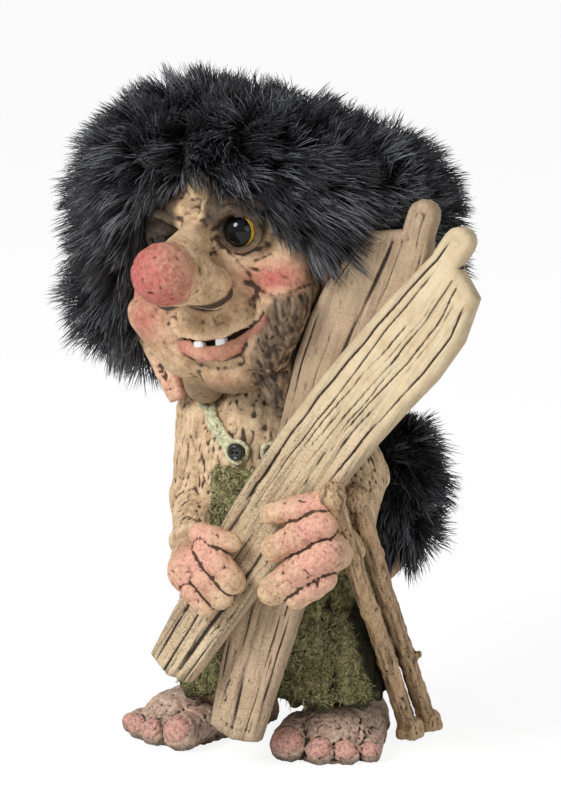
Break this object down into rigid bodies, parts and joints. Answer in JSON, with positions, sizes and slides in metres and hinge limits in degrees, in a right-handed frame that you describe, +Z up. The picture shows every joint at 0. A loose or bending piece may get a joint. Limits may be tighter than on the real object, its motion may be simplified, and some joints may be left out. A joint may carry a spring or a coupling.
{
  "type": "norwegian troll figure",
  "caption": "Bare-footed troll figure in green dungarees, with bushy black fur hair and a tufted tail, hugging broad wooden-looking skis with gnarled poles at its side.",
  "frame": {"origin": "on the floor, under the middle of the whole figure's outline", "axes": "+Z up, -Y the way the troll's chest faces, +X its left side"},
  "size_m": [0.1624, 0.13, 0.2329],
  "materials": {
    "skin": "painted with a dark wash",
    "shirt": "painted with a dark wash",
    "dungarees": "rough paint",
    "buttons": "gloss",
    "eyes": "gloss",
    "teeth": "gloss",
    "fur": "long pile",
    "cap": "woven backing",
    "skis": "painted as grained wood",
    "poles": "painted as grained wood",
    "pegs": "bare",
    "ballast": "cast"
  },
  "bodies": {
    "root": {"trunk": "shirt", "trousers": "dungarees", "bib": "dungarees", "right_brace": "dungarees", "left_brace": "dungarees", "brace_buttons": "buttons", "right_sleeve": "shirt", "left_sleeve": "shirt", "right_hand": "skin", "left_hand": "skin", "right_foot": "skin", "left_foot": "skin", "head": "skin", "right_ear": "skin", "left_ear": "skin", "right_eye": "eyes", "left_eye": "eyes", "teeth": "teeth", "hair": "fur", "wig_cap": "cap", "front_ski": "skis", "back_ski": "skis", "inner_pole": "poles", "outer_pole": "poles", "pole_baskets": "poles", "tail": "skin", "tail_tuft": "fur", "neck_peg": "pegs", "shoulder_pegs": "pegs", "leg_pegs": "pegs", "ballast": "ballast"}
  },
  "joints": []
}
